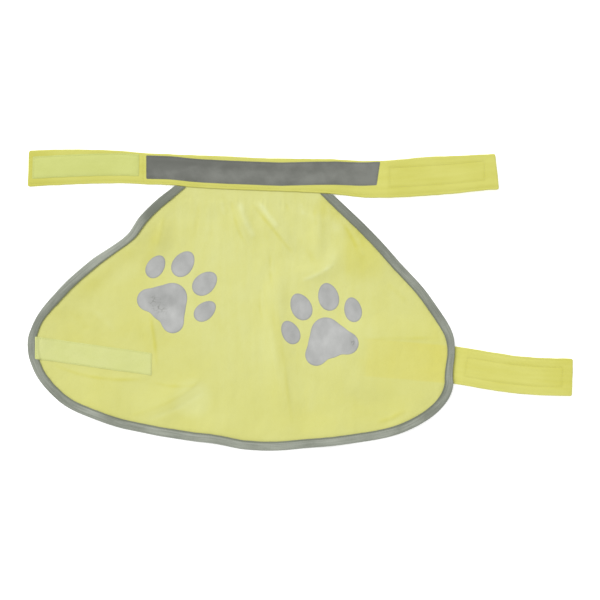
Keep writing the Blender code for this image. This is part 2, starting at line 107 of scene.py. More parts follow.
class Finish:
    """A cloth's material: the shader's own numbers, and a method for each of its other nodes."""

    def __init__(self, name, **numbers):
        self.material = bpy.data.materials.new(name)
        self.material.use_nodes = True
        self.tree = self.material.node_tree
        self.shader = self.tree.nodes["Principled BSDF"]
        for socket, value in numbers.items():
            self.shader.inputs[socket.replace("_", " ")].default_value = value

    def feed(self, socket, value):
        if isinstance(value, Signal):
            self.tree.links.new(value.socket, socket)
        else:
            socket.default_value = value

    def node(self, kind, settings, inputs, output=0):
        made = self.tree.nodes.new("ShaderNode" + kind)
        for setting, value in settings.items():
            setattr(made, setting, value)
        for socket, value in inputs.items():
            self.feed(made.inputs[socket], value)
        return Signal(self, made.outputs[output])

    def place(self, centre=(0, 0, 0), turn=0.0, size=(1, 1, 1)):
        """Where a point lies from a centre, along turned axes, counted in sizes."""
        point = self.node("TexCoord", {}, {}, output=3)
        turned = {0: point, 1: centre, 2: (0, 0, turn), 3: size}
        return self.node("Mapping", {"vector_type": "TEXTURE"}, turned)

    def along(self, size):
        """Where a point lies on the piece's own cloth, counted in sizes along and across it."""
        point = self.node("Attribute", {"attribute_name": "cloth"}, {}, output=1)
        return self.node("Mapping", {"vector_type": "TEXTURE"}, {0: point, 3: size})

    def tone(self):
        """How much paler, above 0, or deeper, below 0, a piece is painted along its folds, seams and rims:
        painted light and shade kept on its mesh.
        """
        return self.node("Attribute", {"attribute_name": "tone"}, {}, output=2)

    def parts(self, point):
        """A point's x and y."""
        split = self.node("SeparateXYZ", {}, {0: point})
        return split, Signal(self, split.socket.node.outputs[1])

    def oval(self, x, y, across, up, turn=0.0):
        """1 in the middle of a soft oval patch, and 0 from its edge out. Its middle and how far it reaches
        are in millimetres."""
        centre, size = (x * MM, y * MM, 0.0), (across * MM, up * MM, 1.0)
        x, y = self.parts(self.place(centre, turn, size))
        return 1 - (x * x + y * y).between(0.0, 1.0)

    def tones(self, rows):
        """Soft ovals that show paler, where a row's last number is above 0, or deeper."""
        return sum(self.oval(*place) * much for *place, much in rows)

    def cloud(self, point, detail=2.0):
        """Soft patches, from about -0.5 to 0.5."""
        return self.node("TexNoise", {}, {"Vector": point, "Scale": 1.0, "Detail": detail}) - 0.5

    def clouds(self, size, detail=2.0, **where):
        """The same, about as large as this."""
        return self.cloud(self.place(size=size, **where), detail)

    def mix(self, factor, first, second):
        settings = {"data_type": "RGBA", "clamp_factor": True}
        return self.node("Mix", settings, {0: factor, 6: first, 7: second}, output=2)

    def wear(self, color, height, distance=0.04 * MM, roughness=None):
        """Puts the varying colour, roughness and fine relief on the shader."""
        self.feed(self.shader.inputs["Base Color"], color)
        if roughness is not None:
            self.feed(self.shader.inputs["Roughness"], roughness)
        relief = {"Height": height, "Distance": distance, "Strength": 1.0}
        self.feed(self.shader.inputs["Normal"], self.node("Bump", {}, relief))


def joined(node):
    """A solid's mesh with its loose triangles joined."""
    bm = bmesh.new()
    bm.from_mesh(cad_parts[node].data)
    bmesh.ops.remove_doubles(bm, verts=bm.verts, dist=TOUCH * 5)
    bm.normal_update()
    return bm


def plan_length(line):
    return sum((b - a).xy.length for a, b in zip(line, line[1:]))


def seen_from_above(node):
    """A tree to look at a strap's solid with, and its two long sides, the shorter one first."""
    bm = joined(node)
    tree = BVHTree.FromBMesh(bm)
    upward = [face for face in bm.faces if face.normal.z > FACING_UP]
    fresh = [max(upward, key=lambda face: face.calc_center_median().z)]
    top = set(fresh)
    while fresh:
        for edge in fresh.pop().edges:
            for face in edge.link_faces:
                if face.normal.z > FACING_UP and face not in top:
                    top.add(face)
                    fresh.append(face)

    rim = {edge for face in top for edge in face.edges if len(top & set(edge.link_faces)) == 1}
    corner = next(iter(rim)).verts[0]
    ring = []
    while rim:
        edge = next(edge for edge in corner.link_edges if edge in rim)
        rim.remove(edge)
        corner = edge.other_vert(corner)
        ring.append(corner.co.copy())
    bm.free()

    def turn(index):
        here, after = ring[index], ring[(index + 1) % len(ring)]
        return (here - ring[index - 1]).xy.angle((after - here).xy, 0.0)

    corners = sorted(sorted(range(len(ring)), key=turn)[-4:])
    sides = []
    for start, stop in zip(corners, corners[1:] + [corners[0] + len(ring)]):
        side = [ring[index % len(ring)] for index in range(start, stop + 1)]
        sides.append(side if side[0].x < side[-1].x else side[::-1])
    return tree, sorted(sides, key=plan_length)[2:]


def smooth(points, steps=FINE_STEPS):
    """A curve through points, as Bezier stretches whose handles lie along the neighbours' chord."""
    ends = [2 * points[0] - points[1]] + points + [2 * points[-1] - points[-2]]
    curve = [points[0]]
    for before, start, stop, after in zip(ends, ends[1:], ends[2:], ends[3:]):
        reach = (stop - start).length / 3
        leave = start + (stop - before).normalized() * reach
        arrive = stop - (after - start).normalized() * reach
        curve += interpolate_bezier(start, leave, arrive, stop, steps + 1)[1:]
    return curve


class Path:
    """A line on the cloth, to be walked by its length in plan."""

    def __init__(self, points):
        self.points = points
        self.runs = [0.0]
        for a, b in zip(points, points[1:]):
            self.runs.append(self.runs[-1] + (b - a).xy.length)
        self.length = self.runs[-1]

    def stretch(self, run):
        """The stretch that a run falls in, and how far along it."""
        index = min(max(bisect(self.runs, run) - 1, 0), len(self.points) - 2)
        return index, (run - self.runs[index]) / (self.runs[index + 1] - self.runs[index])

    def at(self, run):
        index, share = self.stretch(run)
        return self.points[index].lerp(self.points[index + 1], share)

    def every(self, step):
        """Points about this far apart, its ends among them."""
        count = max(round(self.length / step), 1)
        return [self.at(self.length * i / count) for i in range(count + 1)]


def facing(first, second):
    """Two sides of a strap as pairs of facing points: by their own points, or by shares of their
    lengths where a flat stretch of one has fewer."""
    if len(first) == len(second):
        return list(zip(smooth(first), smooth(second)))
    first, second = Path(smooth(first)), Path(smooth(second))
    shares = [run / first.length for run in first.runs]
    return [(first.at(first.length * share), second.at(second.length * share)) for share in shares]


def evenly(count, length=1.0):
    return [length * i / count for i in range(count + 1)]


def laid(runs, depths, spot):
    """A sheet of cells whose corners lie at these runs and depths, kept on it as its cloth layer. Its
    under layer is for the heights of its underside, and its tone layer for paler or deeper places."""
    bm = bmesh.new()
    for layer in ("under", "tone"):
        bm.verts.layers.float.new(layer)
    cloth = bm.verts.layers.float_vector.new("cloth")
    cells = len(runs) - 1, len(depths) - 1
    grid = bmesh.ops.create_grid(bm, x_segments=cells[0], y_segments=cells[1], size=0.5)
    for corner in grid["verts"]:
        run = runs[round((corner.co.x + 0.5) * cells[0])]
        depth = depths[round((corner.co.y + 0.5) * cells[1])]
        corner[cloth] = (run, depth, 0.0)
        corner.co = spot(run, depth)
    return bm


def soften(bm, times):
    """Evens out the heights of a sheet's corners."""
    for _ in range(times):
        bmesh.ops.smooth_vert(bm, verts=bm.verts, factor=0.5, use_axis_z=True)


def backed(bm):
    """Closes a sheet with its underside, at the heights kept in its under layer."""
    under = bm.verts.layers.float["under"]
    made = bmesh.ops.extrude_face_region(bm, geom=list(bm.faces))["geom"]
    for item in made:
        if isinstance(item, bmesh.types.BMVert):
            item.co.z = item[under]
    bmesh.ops.remove_doubles(bm, verts=bm.verts, dist=TOUCH)
    return bm


def kept(name, bm):
    """A finished mesh, with its faces turned outwards."""
    bmesh.ops.recalc_face_normals(bm, faces=bm.faces)
    mesh = bpy.data.meshes.new(name)
    bm.to_mesh(mesh)
    bm.free()
    return mesh


def shown(name, mesh, finish):
    """A mesh put in the scene with its finish."""
    mesh.materials.append(finish.material)
    made = bpy.data.objects.new(name, mesh)
    bpy.context.scene.collection.objects.link(made)
    return made


def piece(name, bm, finish, slot, *nodes):
    """A finished piece of the vest, riding with it in place of its solids."""
    mesh = kept(name, bm)
    mesh.shade_smooth()
    mesh.set_sharp_from_angle(angle=SHARP_ANGLE)
    made = shown(name, mesh, finish)
    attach(made, "root")
    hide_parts(*nodes)
    return made


def tree_of(made):
    """A finished piece's surface, for what is laid or sewn on it to be rested on."""
    return BVHTree.FromObject(made, bpy.context.evaluated_depsgraph_get())


def look(spot, trees, way):
    """The first cloth met at a place when looking straight down, way -1, or up, way 1."""
    found = []
    for tree in trees:
        hit = tree.ray_cast(Vector((spot.x, spot.y, -FAR_OFF * way)), Vector((0, 0, way)))[0]
        if hit:
            found.append(hit.z * way)
    if found:
        return min(found) * way
    return trees[0].find_nearest(Vector((spot.x, spot.y, -JUST_OFF * way)))[0].z


def top_of(spot, *trees):
    return look(spot, trees, -1)


def under_of(spot, *trees):
    return look(spot, trees, 1)


def ease(value):
    value = min(max(value, 0.0), 1.0)
    return value * value * (3 - 2 * value)


def ripple(x, y, other):
    """Soft unevenness, from about -1 to 1. Another last number gives other ripples."""
    return noise.noise(Vector((x, y, other)))


def at_height(place, height=0.0):
    return Vector((place.x, place.y, height))


class Lines:
    """Lines drawn on a cloth, to find which of them pass near a place."""

    def __init__(self, lines, step=MM):
        self.owners = []
        spots = []
        for number, line in enumerate(lines):
            points = Path(line).every(step)
            for index, point in enumerate(points):
                spots.append(at_height(point))
                self.owners.append((number, index / (len(points) - 1)))
        self.tree = KDTree(len(spots))
        for index, spot in enumerate(spots):
            self.tree.insert(spot, index)
        self.tree.balance()

    def near(self, spot, reach):
        """The distance to each line this near, and how far along it, by the line's number."""
        found = {}
        for _, index, distance in self.tree.find_range(at_height(spot), reach):
            number, share = self.owners[index]
            if number not in found or distance < found[number][0]:
                found[number] = (distance, share)
        return found

    def nearest(self, spot):
        _, index, distance = self.tree.find(at_height(spot))
        return distance, self.owners[index]


PANEL_THICK = 0.6 * MM
PANEL_DROP = 0.2 * MM  # its top lies this much below its solid's
PANEL_IN_FOLD = 0.20  # how far into the folded binding it reaches, as a share from the outer edge
NECK_TONGUE = 9.0 * MM
PANEL_CELLS = (280, 166)
PANEL_SOFTENING = 36
HEM_CORNER = Vector((168.3, -93.5, 0.0)) * MM
BINDING_COVER = 10.2 * MM
CREASE_FADE = 7.0 * MM
WAVE_HEIGHT = 0.35 * MM  # the whole panel's broad waves, and then its narrow ones
NARROW_HEIGHT = 0.16 * MM
PUCKER_REACH = 9.0 * MM  # the seams' puckers die out this far in

# Creases: soft ridges, or troughs where the height is below 0, along a curve that starts and ends at two
# places and bends towards a third. Their tone paints light and shade on the thin cloth along them: a
# painted highlight where it is above 0 and painted shade where it is below 0.
Crease = namedtuple("Crease", "height tone reach start middle end")
CREASES = [
    (-0.5, -0.28, 3.5, (-75.9, 114), (-73, 78), (-55, 55)),
    (0.5, 0.4, 6, (-67, 112), (-63, 88), (-49.5, 68)),
    (-0.7, -0.38, 3.6, (-53, 106), (-32, 80), (-7.7, 51)),
    (0.8, 0.6, 5, (-48, 114), (-39, 96), (-24, 80)),
    (0.45, 0.24, 11, (-14.3, 99), (89, 85), (15.4, 25)),
    (0.6, 0.4, 3.8, (2, 22), (20, 26), (38, 41)),
    (-0.35, -0.16, 6, (-4, 68), (10, 58), (14, 40)),
    (-0.4, -0.22, 3.2, (-44, 13), (-46, -5.5), (-40.7, -24)),
    (-0.3, -0.2, 10, (-41, 27), (-31, -22), (-14, -76)),
    (0.55, -0.24, 3.4, (-25, -4), (-19, -66), (-7.7, -142)),
    (-0.35, -0.24, 3.2, (-32, 56), (-34, 34), (-31, 13)),
    (0.4, 0.1, 5, (-37, 24), (-35, -30), (-22, -92)),
    (0.65, -0.45, 3.5, (-165, -15), (-159, -44), (-157.5, -73)),
    (-0.25, -0.12, 9, (-178, -24), (-168, -44), (-164, -70)),
    (0.5, -0.4, 3.4, (-270, -71), (-228, -92), (-166, -86.5)),
    (0.6, -0.26, 3.8, (-187, -127), (-138, -116), (-108, -86)),
    (-0.4, 0.18, 5, (-176, -133), (-134, -124), (-105, -100)),
    (0.4, -0.28, 3.2, (-163, -90), (-138, -98), (-113, -93)),
    (-0.4, -0.3, 3.6, (45, 86), (58, 70), (63, 53)),
    (0.35, 0.2, 4.5, (52, 84), (66, 66), (70, 48)),
    (-0.3, -0.28, 12, (-155, 84), (-164, 56), (-166, 30)),
    (0.5, -0.2, 4, (-150, 99), (-151, 78), (-157, 58)),
    (0.2, -0.18, 17, (-246, 0), (-208, 36), (-154, 76)),
    (0.25, -0.14, 15, (143, 34), (154, -22), (150, -90)),
    (0.3, 0.25, 4, (-87, 120), (-86, 106), (-83, 92)),
    (-0.3, -0.25, 3.4, (-17, 122), (-16, 110), (-13, 96)),
    (0.3, 0.28, 4, (0, 119), (1, 106), (4, 93)),
    (-0.3, -0.25, 4, (16.5, 110), (15, 96), (18, 81)),
    (0.3, 0.22, 5, (30, 112), (33, 98), (31, 86)),
    (-0.3, -0.16, 5, (-112, 110), (-111, 90), (-117, 68)),
    (0.3, 0.16, 6, (-102, 104), (-101, 84), (-106, 62)),
    (0.6, -0.25, 4.5, (84, -134), (99, -132), (115, -121)),
    (-0.3, 0.12, 5, (92, -138), (106, -134), (122, -124)),
    (0.3, -0.16, 5, (96, 18), (108, 8), (120, -6)),
    (0.35, -0.24, 3.4, (68, -42.5), (112, -42.5), (156, -41.5)),
    (0.25, 0.08, 7, (12, -84), (16, -104), (10, -128)),
    (0.25, -0.08, 6, (58, -100), (62, -114), (58, -132)),
    (0.35, 0.12, 6, (-232, -8), (-216, -18), (-202, -36)),
    (-0.3, -0.12, 7, (-252, -12), (-240, -22), (-232, -34)),
]
CREASES = [Crease(*row) for row in CREASES]


def millimetres(place):
    return Vector((place[0], place[1], 0.0)) * MM


def curve_of(start, middle, end, steps=12):
    """A quadratic curve from start to end, drawn towards its middle point."""
    start, middle, end = millimetres(start), millimetres(middle), millimetres(end)
    return interpolate_bezier(start, start.lerp(middle, 2 / 3), end.lerp(middle, 2 / 3), end, steps)


_, (binding_inner, binding_outer) = seen_from_above("edge_binding")
binding_rails = facing(binding_outer, binding_inner)
_, band_sides = seen_from_above("neck_band")
band_low = min(band_sides, key=lambda side: side[0].y)

in_fold = [outer.lerp(inner, PANEL_IN_FOLD) for outer, inner in binding_rails]
tip = min(range(len(in_fold)), key=lambda index: in_fold[index].x)
corner = min(range(len(in_fold)), key=lambda index: (in_fold[index] - HEM_CORNER).xy.length)
upwards = Vector((0.0, NECK_TONGUE, 0.0))
seam = [point for point in smooth(band_low) if in_fold[0].x < point.x < in_fold[-1].x]
neck_side = Path([point + upwards for point in [in_fold[0], *seam, in_fold[-1]]])
left_side = Path([in_fold[0] + upwards, *in_fold[: tip + 1]])
hem_side = Path(in_fold[tip : corner + 1])
right_side = Path([in_fold[-1] + upwards, *in_fold[: corner - 1 : -1]])


def panel_spot(u, v):
    """A place on the panel, at shares from left to right and from neck to hem, between its four sides."""
    neck, hem = neck_side.at(neck_side.length * u), hem_side.at(hem_side.length * u)
    left, right = left_side.at(left_side.length * v), right_side.at(right_side.length * v)
    upper = neck_side.points[0].lerp(neck_side.points[-1], u)
    lower = hem_side.points[0].lerp(hem_side.points[-1], u)
    spot = neck.lerp(hem, v) + left.lerp(right, u) - upper.lerp(lower, v)
    return at_height(spot, top_of(spot, panel_solid))


panel_bm = joined("panel")
panel_solid = BVHTree.FromBMesh(panel_bm)
panel_bm.free()
bm = laid(evenly(PANEL_CELLS[0]), evenly(PANEL_CELLS[1])[::-1], panel_spot)
soften(bm, PANEL_SOFTENING)

creases = Lines([curve_of(*crease[3:]) for crease in CREASES])
bound_edge = Lines([[outer for outer, _ in binding_rails], smooth(band_low)])
widest_crease = max(crease.reach for crease in CREASES) * MM
under, tone = bm.verts.layers.float["under"], bm.verts.layers.float["tone"]
for vert in bm.verts:
    inset, (side, share) = bound_edge.nearest(vert.co)
    lift = 0.0
    for number, (distance, run) in creases.near(vert.co, widest_crease).items():
        crease = CREASES[number]
        away = distance / (crease.reach * MM)
        if away < 1:
            uneven = 0.60 + 0.55 * ripple(run * 5.0, number * 7.3, 0.0)
            bell = (1 - away**1.5) ** 2 * (1 - (2 * run - 1) ** 4) * uneven
            lift += crease.height * MM * bell
            # painted light and shade along the crease
            vert[tone] += crease.tone * bell
    lift += WAVE_HEIGHT * noise.fractal(vert.co * 42, 0.8, 2.0, 3)
    lift += NARROW_HEIGHT * ripple(vert.co.x * 120, vert.co.y * 38, 5.0)
    clear = ease((inset - BINDING_COVER) / CREASE_FADE)
    pucker = (ripple(share * 190, side * 7.0, 0.0) + 0.5 * noise.noise(vert.co * 260)) * MM
    near_seam = ease((inset - BINDING_COVER + 2 * MM) / (3 * MM)) * math.exp(-inset / PUCKER_REACH)
    vert.co.z += lift * clear + pucker * near_seam - PANEL_DROP
    vert[under] = vert.co.z - PANEL_THICK
    vert[tone] *= clear

TRICOT_PITCH = 0.55 * MM
STRAP_PATCH = (124.6 * MM, -67.4 * MM, 0.0)  # where the belly strap lies under the panel
STRAP_PATCH_HALF = (55.3 * MM, 20.6 * MM, 1.0)
STRAP_PATCH_TURN = -0.085
SHOWS_THROUGH = 0.07
# Where the panel shows paler or deeper than its creases make it: soft ovals
PANEL_TONES = [
    (68, 57, 36, 46, -0.32),
    (33, 99, 20, 24, -0.26),
    (-118, -108, 26, 26, 0.26),
    (-205, 34, 36, 22, 0.12),
]


def knitted(finish, point, pitch):
    """The fine relief of warp-knit cloth: rows of little bumps, each row half a step on."""
    x, y = finish.parts(point)
    turn = 2 * math.pi / pitch
    return (x * turn).sine() * (y * (turn * 0.7)).sine()


def sheer_tricot():
    finish = Finish("sheer_yellow_tricot", Roughness=0.7, Sheen_Weight=0.15, Specular_IOR_Level=0.25)
    # A painted pool of light over the panel's upper middle, which also strengthens the streaks there
    lit_upper_middle = finish.oval(-25, 50, 185, 190)
    streaks = finish.clouds((0.009, 0.055, 0.03), 3.0) * (0.05 + lit_upper_middle * 0.25)
    patches = finish.clouds((0.045, 0.040, 0.05), 4.0, centre=(0.3, 0.1, 0))
    grain = finish.clouds((0.0011, 0.0016, 0.002))
    # the tone brings in the creases' painted light and shade
    light = 0.33 + lit_upper_middle * 0.16 + streaks + patches * 0.35 + grain * 0.14 + finish.tone()
    light = light + finish.tones(PANEL_TONES)
    cloth = finish.mix(light, dyed(209, 206, 100), dyed(226, 230, 168))
    x, y = finish.parts(finish.place(STRAP_PATCH, STRAP_PATCH_TURN, STRAP_PATCH_HALF))
    inside_x = 1 - (x * -1).between(1 - SHOWS_THROUGH * 2, 1 + SHOWS_THROUGH / 2)
    inside_y = 1 - y.size().between(1 - SHOWS_THROUGH, 1 + SHOWS_THROUGH)
    over_strap = finish.mix(light, dyed(209, 203, 86), dyed(231, 231, 154))
    cloth = finish.mix(inside_x * inside_y * (0.6 + x.between(-1.0, 0.5) * 0.4), cloth, over_strap)
    knit = knitted(finish, finish.place(), TRICOT_PITCH)
    finish.wear(cloth, knit + grain * 2)
    return finish


SHEER = sheer_tricot()
panel = piece("back_panel", backed(bm), SHEER, "yellow_sheer", "panel")
panel_tree = tree_of(panel)


# The two paw prints: silver-grey film, heat pressed on the panel so that it follows the cloth's every
# ripple. A plain four-toed print, the same on both sides of its middle, set down twice at two turns.

FILM_RISE = 0.12 * MM
FILM_SUNK = 0.15 * MM
FILM_EDGE = 0.35 * MM
FILM_ROUND = 0.15  # over this share of its edge the film rises by the next share of its height
FILM_STEEP = 0.6
FILM_RIM = 1.5 * MM
WORN = [(-157, -5, 17, 9, -0.8), (58, -45, 4, 11, 0.3)]  # soft ovals in which the film is cracked
# Soft ovals of painted highlight on the film, where a row's last number is above 0, and painted shade
# below 0
FILM_HIGHLIGHTS_AND_SHADE = [
    (-143, -24, 19, 19, 0.25),
    (-148, -1, 14, 10, -0.30),
    (32, -52, 46, 38, 0.12),
]
PRINT_CELLS = 1.5 * MM
# The print's shapes, about its middle, in millimetres and degrees: two pairs of toes and a pad of lobes
Toe = namedtuple("Toe", "x y width length lean")
TOES = [Toe(16.0, 47.5, 22.5, 31.0, 6.0), Toe(36.5, 25.0, 19.0, 27.5, 8.0)]
TOE_TAPER = 0.10
Lobe = namedtuple("Lobe", "x y radius")
PAD_LOBES = [Lobe(0.0, 12.3, 15.9), Lobe(0.0, -3.5, 13.5)]
PAD_LOBES += [Lobe(18.5 * side, -8.0, 11.9) for side in (1, -1)]
PAD_LOBES += [Lobe(9.0 * side, 2.0, 13.5) for side in (1, -1)]
PAD_REACH = 60.0
PAD_BLEND = 2.5
PAD_EXACT = 0.01
Print = namedtuple("Print", "name x y turn")
PRINTS = [Print("left", -148.3, -6.3, -42.0), Print("right", 32.4, -46.6, 20.0)]


def toe_edge(toe, angle):
    """An egg's edge, narrower towards its tip."""
    side = toe.width / 2 * math.cos(angle) * (1 - TOE_TAPER * math.sin(angle))
    return Vector((side, toe.length / 2 * math.sin(angle), 0.0))


@lru_cache(maxsize=None)
def pad_edge(angle):
    """The edge of round lobes that run softly into each other, found by halving the way out to it."""
    way = Vector((math.cos(angle), math.sin(angle), 0.0))
    inside, outside = 0.0, PAD_REACH
    while outside - inside > PAD_EXACT:
        half = (inside + outside) / 2
        gaps = [(way * half - Vector((lobe.x, lobe.y, 0.0))).length - lobe.radius for lobe in PAD_LOBES]
        if sum(math.exp(-gap / PAD_BLEND) for gap in gaps) > 1:
            inside = half
        else:
            outside = half
    return way * inside


def pressed(bm, edge, middle, turn):
    """A patch of film with this edge, turned and put at its place on the panel."""
    rim = max(edge(angle).length for angle in evenly(32, 2 * math.pi)) * MM
    rings = [1.0, 1.0 - FILM_ROUND * FILM_EDGE / rim, 1.0 - FILM_EDGE / rim]
    count = round(rim / PRINT_CELLS)
    rings += [rings[-1] * (1 - i / count) for i in range(1, count + 1)]
    heights = {rings[0]: 0.0, rings[1]: FILM_STEEP}

    def spot(angle, ring):
        place = middle + turn @ (edge(angle) * ring * MM)
        rise = FILM_RISE * heights.get(ring, 1.0)
        return at_height(place, top_of(place, panel_tree) + rise)

    around = max(round(2 * math.pi * rim / PRINT_CELLS), 24)
    patch = laid(evenly(around, 2 * math.pi), rings[::-1], spot)
    bmesh.ops.remove_doubles(patch, verts=patch.verts, dist=TOUCH)
    under, tone = patch.verts.layers.float["under"], patch.verts.layers.float["tone"]
    cloth = patch.verts.layers.float_vector["cloth"]
    for vert in patch.verts:
        vert[under] = top_of(vert.co, panel_tree) - FILM_SUNK
        vert[tone] = -ease(1 - (1 - vert[cloth].y) * rim / FILM_RIM)
    mesh = kept("film", backed(patch))
    bm.from_mesh(mesh)
    bpy.data.meshes.remove(mesh)


def silver_film():
    finish = Finish("silver_film", Roughness=0.45, Specular_IOR_Level=0.4)
    patches = finish.clouds((0.013, 0.018, 0.02), 4.0)
    glass = finish.clouds((0.0007, 0.0007, 0.001))
    light = 0.42 + patches * 1.1 + glass * 0.4 + finish.tone() * 0.5
    light = light + finish.tones(FILM_HIGHLIGHTS_AND_SHADE)
    color = finish.mix(light, dyed(156, 157, 155), dyed(194, 195, 193))
    bent = finish.place(size=(0.0050, 0.0034, 0.004))
    from_crack = finish.node("TexVoronoi", {"feature": "DISTANCE_TO_EDGE"}, {"Vector": bent, "Scale": 1.0})
    worn = sum(finish.oval(*place) for place in WORN)
    broken = finish.clouds((0.0042, 0.0042, 0.004)).between(-0.06, 0.10)
    cracks = (1 - from_crack.between(0.0, 0.16)) * worn * broken
    color = finish.mix(cracks * 0.55 + worn * 0.08, color, dyed(112, 113, 106))
    finish.wear(color, glass - cracks, roughness=0.42 + patches * 0.3)
    return finish


SILVER = silver_film()
for name, x, y, degrees in PRINTS:
    turn = Matrix.Rotation(math.radians(degrees), 3, "Z")
    middle = millimetres((x, y))
    bm = bmesh.new()
    pressed(bm, pad_edge, middle, turn)
    for toe in TOES:
        for side in (1, -1):
            lean = Matrix.Rotation(math.radians(-toe.lean * side), 3, "Z")
            place = middle + turn @ millimetres((toe.x * side, toe.y))
            pressed(bm, partial(toe_edge, toe), place, turn @ lean)
    piece(name + "_paw_print", bm, SILVER, "film_silver")


# The edge binding: grey reflective grosgrain, folded in half over the panel's edge and sewn through
# both legs, from one end of the neck line round the hem to the other.

BINDING_FOLD = 3.6 * MM  # the folded tape's full thickness
BINDING_WIDTH = 10.0 * MM
BINDING_STEP = 2.4 * MM
LEG = 0.95 * MM
ROUND_DEPTH = 1.7 * MM  # how far in the outer fold's round goes
STITCH_INSET = 8.4 * MM
TIP_DROP = 0.25 * MM
RIB_PITCH = 0.8  # in millimetres
BINDING_SWAY = 0.06
FURROW = 0.28 * MM
# Where the tape shows paler or deeper: soft ovals. The paler one on the left shoulder, where the tape
# leans, is a painted highlight.
BINDING_TONES_AND_HIGHLIGHT = [
    (64, 84, 66, 66, -0.32),
    (-155, 112, 36, 36, -0.34),
    (-207, 52, 58, 58, 0.22),
    (-272, -50, 70, 90, -0.13),
    (-20, -150, 260, 110, 0.09),
    (155, -25, 60, 60, -0.07),
    (154, -112, 30, 30, -0.14),
]
# Where the tape leans: the place, how far from it, and the share of its width that it loses to sight
BINDING_LEANS = [
    ((-200.0, 62.0), 40.0, 0.17),
    ((-292.0, -24.0), 34.0, 0.15),
    ((168.5, -62.0), 42.0, 0.19),
]


def binding_profile():
    """The folded tape's cross-section, as distances in from its outer edge and up."""
    half = BINDING_FOLD / 2
    arc = [math.radians(angle) for angle in range(-90, 91, 20)]
    fold = [(ROUND_DEPTH * (1 - math.cos(a)), half + half * math.sin(a)) for a in arc]
    flat = [3.6 * MM, 5.6 * MM, 7.3 * MM, STITCH_INSET, 9.3 * MM]
    upper = [(d, 2 * half - (FURROW if d == STITCH_INSET else 0.0)) for d in flat]
    lower = [(d, 2 * half - rise) for d, rise in upper]
    tips = [(BINDING_WIDTH, 2 * half - TIP_DROP), (BINDING_WIDTH, 2 * half - LEG)]
    low_tips = [(d, 2 * half - rise) for d, rise in tips]
    arc = arc[1:-1:2]
    inside = [(LEG + 0.5 * MM * (1 - math.cos(a)), half + (half - LEG) * math.sin(a)) for a in arc]
    return low_tips + lower[::-1] + fold + upper + tips + inside[::-1]


profile = binding_profile()
girths = Path([Vector((inset, rise, 0.0)) for inset, rise in profile + profile[:1]]).runs
UPPER_TIP = girths[profile.index((BINDING_WIDTH, BINDING_FOLD - TIP_DROP))]
middle_line = Path([outer.lerp(inner, 0.5) for outer, inner in binding_rails])


def binding_at(run):
    """The facing points of the binding's outer and inner edge, which swing in and out a little and come
    closer where the tape leans."""
    index, share = middle_line.stretch(run)
    before, after = binding_rails[index], binding_rails[index + 1]
    outer, inner = before[0].lerp(after[0], share), before[1].lerp(after[1], share)
    sway = (inner - outer) * BINDING_SWAY * ripple(run * 30, 9.0, 0.0)
    for place, reach, lost in BINDING_LEANS:
        away = (outer - millimetres(place)).xy.length / (reach * MM)
        inner = inner.lerp(outer, lost * ease(1 - away))
    return outer + sway, inner + sway


def binding_spot(run, girth):
    inset, rise = profile[girths.index(girth) % len(profile)]
    outer, inner = binding_at(run)
    base = inner.z - BINDING_FOLD
    wobble = ripple(run * 130, 3.0, 0.0) * 0.25 * MM * ease(inset / BINDING_WIDTH)
    place = outer.lerp(inner, (inset + wobble) / BINDING_WIDTH)
    lift = ripple(run * 210, inset * 300, 1.0) * 0.14 * MM
    height = base + rise + (lift if rise > BINDING_FOLD / 2 else 0.0)
    return at_height(place, height)


stations = evenly(round(middle_line.length / BINDING_STEP), middle_line.length)
bm = laid(stations, girths, binding_spot)
bmesh.ops.remove_doubles(bm, verts=bm.verts, dist=TOUCH)
bmesh.ops.holes_fill(bm, edges=bm.edges, sides=0)


def grey_grosgrain():
    finish = Finish("grey_reflective_grosgrain", Sheen_Weight=0.1, Specular_IOR_Level=0.45)
    patches = finish.clouds((0.030, 0.030, 0.03), 3.0)
    fine = finish.clouds((0.0016, 0.0016, 0.002))
    run, girth = finish.parts(finish.along((MM, MM, MM)))
    ribs = (run * (2 * math.pi / RIB_PITCH)).sine()
    lines = finish.cloud(finish.along((0.030, 0.0013, 1.0)), 2.0)
    light = 0.44 + patches * 0.6 + lines * 0.75 + fine * 0.26
    light = light + finish.tones(BINDING_TONES_AND_HIGHLIGHT)
    color = finish.mix(light.between(0.0, 1.0), dyed(112, 117, 104), dyed(172, 177, 164))
    # A painted shade along the tape's upper inner edge, where it steps down onto the panel
    from_tip = (girth - UPPER_TIP / MM).size()
    color = finish.mix((1 - from_tip.between(0.6, 2.4)) * 0.8, color, dyed(104, 110, 88))
    finish.wear(color, ribs + fine * 2, roughness=0.5 + fine * 0.3)
    return finish


GROSGRAIN = grey_grosgrain()
binding = piece("binding_tape", bm, GROSGRAIN, "grey_reflective", "edge_binding")
binding_top = tree_of(binding)

STITCH_PITCH = 3.0 * MM
STITCH_LONG = 2.2 * MM
THREAD = 0.42 * MM
THREAD_SUNK = 0.10 * MM


def stitches(name, lines, tree, finish, slot, way=-1):
    """Rows of lockstitch along lines on a cloth, seen from above, or from below with way 1."""
    bm = bmesh.new()
    for line in lines:
        path = Path(line)
        for index in range(round(path.length / STITCH_PITCH)):
            start = index * STITCH_PITCH
            ends = [path.at(start), path.at(min(start + STITCH_LONG, path.length))]
            ends = [at_height(end, look(end, [tree], way) - way * THREAD_SUNK) for end in ends]
            along = ends[1] - ends[0]
            if along.length < THREAD:
                continue
            turn = along.to_track_quat("X", "Z").to_matrix().to_4x4()
            shape = Matrix.Diagonal((along.length / 2, THREAD / 2, THREAD / 2, 1.0))
            place = Matrix.Translation(ends[0].lerp(ends[1], 0.5)) @ turn @ shape
            bmesh.ops.create_uvsphere(bm, u_segments=6, v_segments=4, radius=1.0, matrix=place)
    return piece(name, bm, finish, slot)


